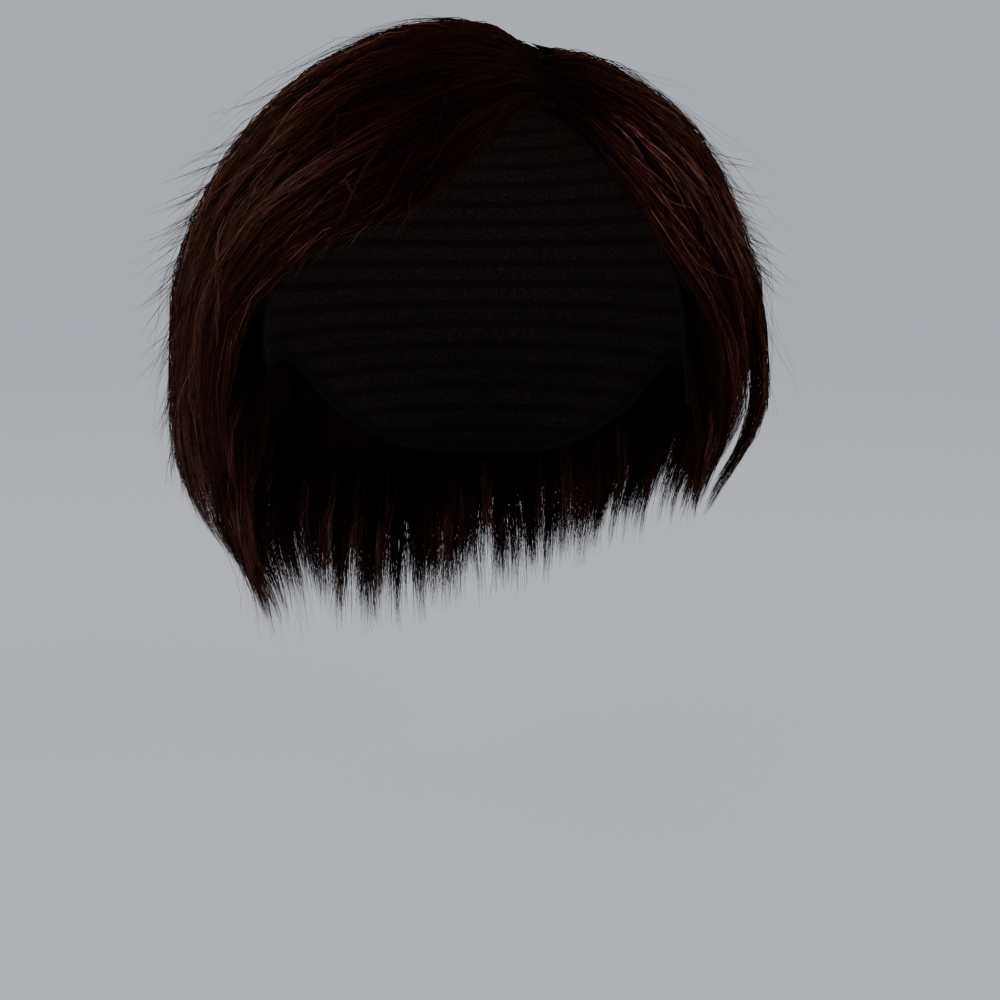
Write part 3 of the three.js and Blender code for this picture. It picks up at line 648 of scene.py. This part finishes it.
def top_layer(shares):
    """Point of a top section by its place across, along its hair and through its depth, each 0 to 1."""
    def point(across, along, depth):
        share = np.clip(shares[0] + (shares[1] - shares[0]) * across, -EDGE_OVERHANG, 1 + EDGE_OVERHANG)
        spot = share * (len(TOP_GUIDES) - 1)
        back = 1 - np.abs(2 * share - 1)
        turn = np.pi * smooth(0.5 + (share - 0.5) / PARTING_END_SHARE)
        root = [a + (b - a) * back for a, b in zip(PARTING_FRONT, PARTING_BACK)]
        root = [a - PARTING_HALF_GAP_DEGREES * b for a, b in zip(root, (np.cos(turn), np.sin(turn)))]
        segment = np.clip(np.searchsorted(GUIDE_STOPS, along, side="right") - 1, 0, 2)
        first, second = (np.array(GUIDE_STOPS)[segment + k] for k in (0, 1))
        stage = segment + (along - first) / (second - first)
        stops = [[root[k], *(through(row[k], spot) for row in (BENDS, WIDEST, ENDS))] for k in (0, 1)]
        x, y = (through(np.stack(row), stage) for row in stops)
        polar, bearing = np.hypot(x, y), np.degrees(np.arctan2(x, y))
        rise = smooth(back / CROWN_RISE_SHARE)
        root_thick = ROOT_THICKNESS + (CROWN_ROOT_THICKNESS - ROOT_THICKNESS) * rise
        stops = [root_thick, *(through(TOP_GUIDES[:, k], spot) for k in (5, 6, 7))]
        thick = through(np.stack(stops), stage)
        floor = under_reach(under_guide(bearing), polar) + LAYER_GAP
        return form_point(bearing, polar, floor + thick * depth)
    return point


back = top_layer(BACK_SHARES)
dense_body("back_body", "back_hair", back, 96, 44, 0.84)
grow("back_strands", comb(back, 13, (
    dict(locks=60, strands=42, start=(-0.03, 0.03), stop=(0.95, 1.1), depth=(0.86, 0.97), deep=0.18,
         wide=2.4, skew=-0.12, across=(-0.03, 1.03), lift=(-0.2, 0.05), slant=(-0.03, 0.03), tip=0.7),
    dict(locks=290, strands=5, start=(0.1, 0.78), length=(0.18, 0.4), depth=(0.9, 0.99), deep=0.06,
         wide=2.2, across=(-0.02, 1.02), lift=(0.0, 0.16), slant=(-0.06, 0.06), tip=0.4, fine=0.9,
         bright=1.1),
    dict(locks=40, strands=38, start=(0.5, 0.7), stop=(0.96, 1.12), depth=(0.4, 0.85), deep=0.3,
         wide=2.4, across=(-0.04, 1.04), lift=(-0.3, 0.1), slant=(-0.04, 0.04), tip=0.8, fine=1.2,
         pull=0.2),
    dict(locks=34, strands=26, start=(0.72, 0.82), stop=(0.97, 1.14), depth=(0.1, 0.5), deep=0.25,
         wide=2.6, across=(-0.04, 1.04), lift=(-0.1, 0.2), slant=(-0.04, 0.04), tip=0.9, fine=1.1,
         pull=0.1),
    dict(locks=24, strands=30, start=(0.35, 0.6), stop=(1.0, 1.2), depth=(0.89, 0.99), deep=0.14,
         wide=0.7, lift=(-0.25, 0.1), slant=(-0.03, 0.03), tip=0.25),
    dict(locks=200, strands=2, start=(0.4, 0.9), length=(0.08, 0.18), depth=(0.92, 1.0), deep=0.06,
         wide=2.0, lift=(0.2, 0.8), slant=(-0.04, 0.04), tip=1.0, fine=0.7),
), 401), Seed=401, **SETTINGS)

# Left front hair
# Top hair combed from the parting to the left and knotted into the cap along it. It is tucked back off the
# front edge in a smooth curve, and its ends curl in under one outer lock that hangs free.
LEFT_FRONT_SHARES = (0.74, 1.0)
left_front = top_layer(LEFT_FRONT_SHARES)
dense_body("left_front_body", "left_front_hair", left_front, 66, 44, 0.66, free=(False, True))
# Painted shade: near their roots, strands in the hollow beside the front of the parting are darkened in
# tone.
PARTING_SHADE, PARTING_SHADE_ACROSS, PARTING_SHADE_ALONG = 0.85, 0.65, 0.4
SHADE_HOLDS_ACROSS, SHADE_HOLDS_ALONG, LEFT_SHADE_SHORTER = 1.2, 1.25, 2.2


def parting_shade(from_front, along):
    """Share of a strand's tone kept under the painted shade in the hollow beside the front of the parting.
    """
    by_front = smooth(SHADE_HOLDS_ACROSS - from_front / PARTING_SHADE_ACROSS)
    by_root = smooth(SHADE_HOLDS_ALONG - along / PARTING_SHADE_ALONG)
    return 1 - PARTING_SHADE * (by_front * by_root)


# The same painted shade for the left front hair, whose front edge is at across 1, over a shorter span along.
def left_front_shade(across, along):
    return parting_shade(1 - across, along * LEFT_SHADE_SHORTER)


grow("left_front_strands", comb(left_front, 7, (
    dict(locks=40, strands=48, start=(-0.03, 0.03), stop=(0.92, 1.04), depth=(0.93, 1.05), deep=0.14,
         wide=2.4, across=(-0.05, 1.0), lift=(-1.4, -1.0), curl=4, skew=0.1, slant=(-0.06, 0.06),
         tip=0.7),
    dict(locks=250, strands=5, start=(0.1, 0.45), length=(0.18, 0.32), depth=(0.96, 1.07), deep=0.06,
         wide=2.2, across=(-0.04, 1.0), lift=(-0.4, 0.1), skew=0.1, slant=(-0.1, 0.1), tip=0.4,
         fine=0.9, bright=1.4),
    dict(locks=30, strands=42, start=(0.42, 0.58), stop=(0.96, 1.08), depth=(0.2, 0.65), deep=0.2,
         wide=2.4, across=(-0.06, 1.0), lift=(-0.7, -0.4), skew=0.1, slant=(-0.06, 0.06), tip=0.8,
         fine=1.2, pull=0.2),
    dict(locks=70, strands=5, start=(0.05, 0.5), stop=(0.4, 0.9), depth=(0.6, 1.1), deep=0.2, wide=1.5,
         across=(0.82, 1.0), lift=(-0.3, 0.0), slant=(0.0, 0.08), tip=1.2, fine=0.7),
    dict(locks=24, strands=30, start=(0.6, 0.72), stop=(0.97, 1.1), depth=(0.0, 0.3), deep=0.15,
         wide=2.6, across=(0.0, 1.0), lift=(-0.3, 0.0), skew=0.1, slant=(-0.05, 0.05), tip=0.9,
         fine=1.1, pull=0.1),
    dict(locks=5, strands=30, start=(0.35, 0.6), stop=(0.98, 1.16), depth=(0.94, 1.02), deep=0.12,
         wide=0.7, across=(0.74, 1.0), lift=(-0.8, -0.3), curl=4, slant=(-0.04, 0.04), tip=0.25),
    dict(locks=2, strands=120, start=(0.4, 0.5), stop=(1.1, 1.17), depth=(0.98, 1.03), deep=0.16,
         wide=0.8, across=(0.4, 0.56), lift=(0.1, 0.2), slant=(0.02, 0.06), tip=0.3, pull=0.0,
         bright=1.7),
    dict(locks=120, strands=2, start=(0.3, 0.56), length=(0.08, 0.18), depth=(0.92, 1.0), deep=0.06,
         wide=2.0, across=(0.25, 1.0), lift=(0.2, 0.8), slant=(-0.06, 0.06), tip=1.0, fine=0.7),
), 411, left_front_shade), Seed=411, **SETTINGS)

# Fringe hair
# The long top hair swept from the parting across the front to the right, knotted into the cap along the
# parting. It lies in stepped layers, which end in light feathered tips.
FRINGE_SHARES = (0.0, 0.27)
fringe = top_layer(FRINGE_SHARES)
dense_body("fringe_body", "fringe_hair", fringe, 66, 44, 0.84, free=(True, False))
grow("fringe_strands", comb(fringe, 8, (
    dict(locks=44, strands=48, start=(-0.03, 0.03), stop=(0.97, 1.16), depth=(0.85, 0.97), deep=0.18,
         wide=2.4, across=(0.02, 1.05), lift=(-0.2, 0.05), slant=(-0.06, 0.04), tip=0.7),
    dict(locks=290, strands=5, start=(0.1, 0.78), length=(0.15, 0.36), depth=(0.87, 0.97), deep=0.06,
         wide=2.2, across=(0.14, 1.04), lift=(-0.05, 0.16), slant=(-0.24, 0.12), tip=0.5, fine=0.85,
         bright=1.15),
    dict(locks=28, strands=38, start=(0.45, 0.65), stop=(0.96, 1.12), depth=(0.4, 0.85), deep=0.3,
         wide=2.4, across=(0.02, 1.06), lift=(-0.3, 0.1), slant=(-0.05, 0.05), tip=0.8, fine=1.2,
         pull=0.2),
    dict(locks=130, strands=4, start=(0.05, 0.45), stop=(0.4, 0.85), depth=(0.7, 1.02), deep=0.2,
         wide=3.0, across=(0.06, 0.5), lift=(-0.3, 0.05), slant=(-0.13, -0.03), tip=1.2, fine=0.7),
    dict(locks=22, strands=26, start=(0.7, 0.8), stop=(0.97, 1.14), depth=(0.1, 0.5), deep=0.25,
         wide=2.6, across=(0.1, 1.05), lift=(-0.1, 0.2), slant=(-0.05, 0.05), tip=0.9, fine=1.1,
         pull=0.1),
    dict(locks=14, strands=30, start=(0.35, 0.6), stop=(1.0, 1.22), depth=(0.88, 0.98), deep=0.14,
         wide=0.7, across=(0.4, 1.0), lift=(-0.25, 0.08), slant=(-0.06, 0.04), tip=0.25),
    dict(locks=230, strands=2, start=(0.12, 0.7), length=(0.05, 0.12), depth=(0.4, 1.0), deep=0.2,
         wide=1.5, across=(0.0, 0.08), lift=(-0.2, 0.2), slant=(-0.14, 0.0), tip=1.2, fine=0.6),
    dict(locks=200, strands=2, start=(0.4, 0.9), length=(0.08, 0.18), depth=(0.92, 1.0), deep=0.06,
         wide=2.0, across=(0.2, 1.0), lift=(0.2, 0.9), slant=(-0.1, 0.06), tip=1.0, fine=0.7),
), 421, parting_shade), Seed=421, **SETTINGS)

# Root hairs
# Short hair knotted singly into the cap along both sides of the parting and at the front hairline.
# It closes both, so that neither shows as an edge.
for name, point, shade, seed in (
    ("fringe_roots", fringe, parting_shade, 431), ("left_front_roots", left_front, left_front_shade, 441),
    ("back_roots", back, None, 451),
):
    grow(name, comb(point, 6, (
        dict(locks=44, strands=16, start=(-0.05, 0.01), stop=(0.2, 0.42), depth=(0.8, 1.0), deep=0.4,
             wide=2.4, lift=(-0.2, 0.0), slant=(-0.04, 0.04), tip=0.9),
    ), seed, shade), Seed=seed, **{**SETTINGS, "Latest_start": 0.05, "Step": 0.014})

# Loose hairs
# Single hairs that have worked out of the combed layers. Most stand off the outline, and some fine ones
# fall from the front of the parting.
PEAK_BEARING, PEAK_POLAR, PEAK_FAN_DEGREES, PEAK_DROP_DEGREES = 24.7, 42.0, 50.0, 40.0
PEAK_REACH, PEAK_SHADE = 3.0, 0.35


def peak(across, along, depth):
    """Point of the fine hairs that fall from the front of the parting."""
    fan = PEAK_FAN_DEGREES * (across - 0.5) * smooth(along)
    return form_point(PEAK_BEARING + fan, PEAK_POLAR + PEAK_DROP_DEGREES * along, PEAK_REACH * depth)


# Painted shade: the hairs that fall from the front of the parting are darkened to a fixed share of their
# tone, like the dark hollow they hang from.
def peak_shade(across, along):
    return PEAK_SHADE + 0 * along


FLYAWAY = dict(start=(0.05, 0.75), length=(0.15, 0.4), depth=(0.9, 1.05), deep=0.3, wide=2.0,
               lift=(0.1, 0.7), slant=(-0.12, 0.12), tip=1.5)
LOOSE_SETTINGS = {
    **SETTINGS, "Strand_radius": 0.00008, "Latest_start": 0.1,
    "Frizz": 0.005, "Frizz_size": 0.04, "Step": 0.01,
}
for name, point, seed in (
    ("fringe_loose", fringe, 461), ("left_front_loose", left_front, 471),
    ("back_loose", back, 481), ("right_side_loose", right_side, 491),
):
    grow(name, comb(point, 4, (dict(locks=60, strands=2, **FLYAWAY),), seed), Seed=seed, **LOOSE_SETTINGS)
grow("peak_loose", comb(peak, 2, (
    dict(locks=18, strands=1, start=(0.0, 0.02), stop=(0.15, 0.6), depth=(0.6, 1.4), deep=0.5, wide=1.0,
         lift=(0.0, 0.8), slant=(-0.1, 0.1), tip=1.0),
    dict(locks=1, strands=1, start=(0.0, 0.0), stop=(1.0, 1.0), depth=(1.0, 1.0), deep=0.2, wide=0.2,
         lift=(0.0, 0.5), slant=(0.0, 0.0), tip=1.0),
), 501, peak_shade), Seed=501, **LOOSE_SETTINGS)

# Studio
# A plain pale floor, soft light from both sides and above, and the camera at the photograph's angle.
# The backdrop is bright for the camera alone, so that it doesn't light the hair from behind.
FLOOR_HEIGHT, FLOOR_HALF = -0.276, 4.0
floor_mesh = bpy.data.meshes.new("studio_floor")
corners = [(-1, -1), (1, -1), (1, 1), (-1, 1)]
corners = [(FLOOR_HALF * x, FLOOR_HALF * y, FLOOR_HEIGHT) for x, y in corners]
floor_mesh.from_pydata(corners, [], [(0, 1, 2, 3)])
floor = bpy.data.objects.new("studio_floor", floor_mesh)
bpy.context.scene.collection.objects.link(floor)
COOL_WHITE, FLOOR_GREY = (0.86, 0.91, 1.0, 1.0), (0.1, 0.12, 0.15, 1.0)
FLOOR_GLOW, BACKDROP_GLOW, ROOM_GLOW = 0.55, 0.56, 0.07
pale, _, _ = new_material(
    "pale_floor", Roughness=0.9, Specular_IOR_Level=0.0, Base_Color=FLOOR_GREY,
    Emission_Color=COOL_WHITE, Emission_Strength=FLOOR_GLOW,
)
floor_mesh.materials.append(pale)

world = bpy.data.worlds.new("studio")
bpy.context.scene.world = world
world.use_nodes = True
sky = world.node_tree
seen = add(sky, "ShaderNodeLightPath")["Is Camera Ray"]
glow = add(sky, "ShaderNodeMapRange", {0: seen, 3: ROOM_GLOW, 4: BACKDROP_GLOW})[0]
sky.nodes["Background"].inputs["Color"].default_value = COOL_WHITE
sky.links.new(glow, sky.nodes["Background"].inputs["Strength"])

DAYLIGHT, LIT_SPOT = (1.0, 0.78, 0.64), (0.0, 0.0, -0.1)


def soft_light(name, place, size, power):
    lamp = bpy.data.lights.new(name, "AREA")
    lamp.shape, lamp.size, lamp.energy, lamp.color = "DISK", size, power, DAYLIGHT
    light = bpy.data.objects.new(name, lamp)
    light.location = place
    aim = np.array(LIT_SPOT) - np.array(place)
    tilt = math.atan2(math.hypot(aim[0], aim[1]), -aim[2])
    light.rotation_euler = (tilt, 0, math.atan2(aim[1], aim[0]) - math.pi / 2)
    bpy.context.scene.collection.objects.link(light)


soft_light("left_window", (-1.0, -0.15, 0.55), 0.8, 7.5)
soft_light("right_window", (0.9, -0.3, 0.6), 0.7, 11.0)
soft_light("back_fill", (-0.4, 0.6, 1.0), 0.9, 4.2)
soft_light("front_fill", (-0.3, -0.8, 1.0), 1.0, 3.6)

CAMERA_PLACE, CAMERA_PITCH_DEGREES = (0.008, -0.360, -0.065), 13.3
CAMERA_LENS, CAMERA_SENSOR, CAMERA_NEAR = 36.0, 36.0, 0.01
camera = bpy.data.objects.new("camera", bpy.data.cameras.new("camera"))
camera.data.lens, camera.data.sensor_width = CAMERA_LENS, CAMERA_SENSOR
camera.data.clip_start = CAMERA_NEAR
camera.location = CAMERA_PLACE
camera.rotation_euler = (math.radians(90 - CAMERA_PITCH_DEGREES), 0, 0)
bpy.context.scene.collection.objects.link(camera)
bpy.context.scene.camera = camera
